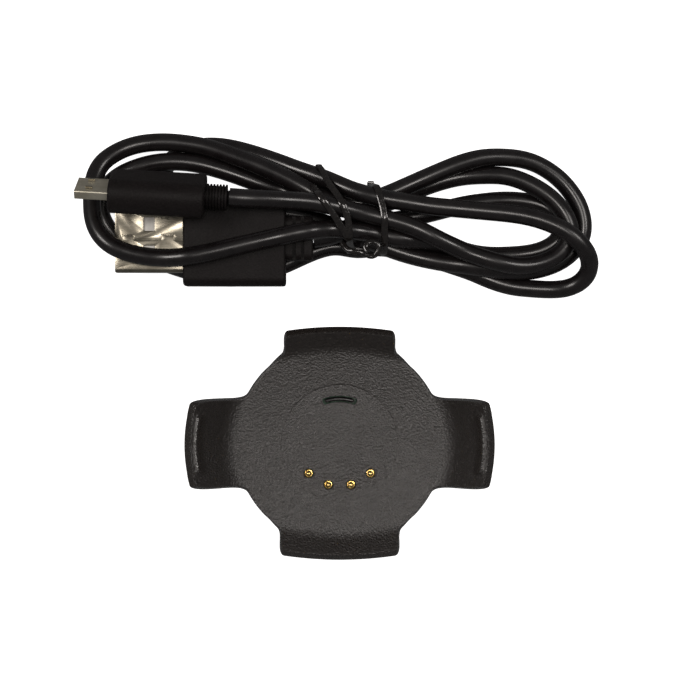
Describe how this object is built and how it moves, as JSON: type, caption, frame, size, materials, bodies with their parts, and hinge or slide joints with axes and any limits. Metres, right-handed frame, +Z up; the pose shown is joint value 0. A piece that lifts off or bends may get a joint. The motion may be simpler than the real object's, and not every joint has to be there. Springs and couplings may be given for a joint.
{
  "type": "running watch charging cradle",
  "caption": "Low black clip-on charging cradle for a round watch, with sprung gold contacts, and its loose USB lead folded in a tied hank.",
  "frame": {"origin": "centre of the cradle's foot, on the surface it stands on", "axes": "+Z up out of the watch seat; +X across the two clip arms; +Y from the contact pins to the locating key, towards the loose lead"},
  "size_m": [0.0918, 0.0754, 0.0206],
  "materials": {
    "tray_plastic": "black, fine moulded grain",
    "housing_plastic": "black, fine moulded grain",
    "key_plastic": "black, glossy",
    "pad_rubber": "black, soft matt",
    "contact_gold": "gold plated",
    "spring_steel": "bright drawn wire",
    "board_laminate": "green solder mask",
    "component_ceramic": "tan ceramic",
    "connector_steel": "nickel plated, fine rolled grain",
    "connector_plastic": "white moulding",
    "screw_steel": "plain",
    "overmould_plastic": "black, finely textured",
    "cord_sheath": "black, semi-gloss sheath",
    "tie_coating": "black coated wire"
  },
  "bodies": {
    "cradle": {"anti_slip_pad": "pad_rubber", "base_housing": "housing_plastic", "case_screw_1": "screw_steel", "case_screw_2": "screw_steel", "case_screw_3": "screw_steel", "circuit_board": "board_laminate", "cradle_tray": "tray_plastic", "input_capacitor": "component_ceramic", "locating_key": "key_plastic", "pogo_barrel_1": "contact_gold", "pogo_barrel_2": "contact_gold", "pogo_barrel_3": "contact_gold", "pogo_barrel_4": "contact_gold", "pogo_spring_1": "spring_steel", "pogo_spring_2": "spring_steel", "pogo_spring_3": "spring_steel", "pogo_spring_4": "spring_steel", "resettable_fuse": "component_ceramic", "socket_contact_1": "contact_gold", "socket_contact_2": "contact_gold", "socket_contact_3": "contact_gold", "socket_contact_4": "contact_gold", "socket_contact_5": "contact_gold", "socket_shell": "connector_steel", "socket_tongue": "connector_plastic"},
    "plunger_1": {"pogo_plunger_1": "contact_gold"},
    "plunger_2": {"pogo_plunger_2": "contact_gold"},
    "plunger_3": {"pogo_plunger_3": "contact_gold"},
    "plunger_4": {"pogo_plunger_4": "contact_gold"},
    "lead": {"cable_hank": "cord_sheath", "micro_b_contact_1": "contact_gold", "micro_b_contact_2": "contact_gold", "micro_b_contact_3": "contact_gold", "micro_b_contact_4": "contact_gold", "micro_b_contact_5": "contact_gold", "micro_b_latch_1": "connector_steel", "micro_b_latch_2": "connector_steel", "micro_b_overmould": "overmould_plastic", "micro_b_shell": "connector_steel", "micro_b_tongue": "connector_plastic", "micro_lead": "cord_sheath", "twist_tie": "tie_coating", "usb_a_contact_1": "contact_gold", "usb_a_contact_2": "contact_gold", "usb_a_contact_3": "contact_gold", "usb_a_contact_4": "contact_gold", "usb_a_overmould": "overmould_plastic", "usb_a_shell": "connector_steel", "usb_a_tongue": "connector_plastic", "usb_lead": "cord_sheath"}
  },
  "joints": [
    {"name": "plunger_slide_1", "type": "slide", "parent": "cradle", "child": "plunger_1", "axis": [0, 0, 1], "range_m": [-0.001, 0], "stiffness_N_per_m": 400, "deforming": ["pogo_spring_1"]},
    {"name": "plunger_slide_2", "type": "slide", "parent": "cradle", "child": "plunger_2", "axis": [0, 0, 1], "range_m": [-0.001, 0], "stiffness_N_per_m": 400, "deforming": ["pogo_spring_2"]},
    {"name": "plunger_slide_3", "type": "slide", "parent": "cradle", "child": "plunger_3", "axis": [0, 0, 1], "range_m": [-0.001, 0], "stiffness_N_per_m": 400, "deforming": ["pogo_spring_3"]},
    {"name": "plunger_slide_4", "type": "slide", "parent": "cradle", "child": "plunger_4", "axis": [0, 0, 1], "range_m": [-0.001, 0], "stiffness_N_per_m": 400, "deforming": ["pogo_spring_4"]},
    {"name": "lead_lift", "type": "slide", "parent": "cradle", "child": "lead", "axis": [0, 0, 1], "range_m": [0, 0.05]}
  ]
}
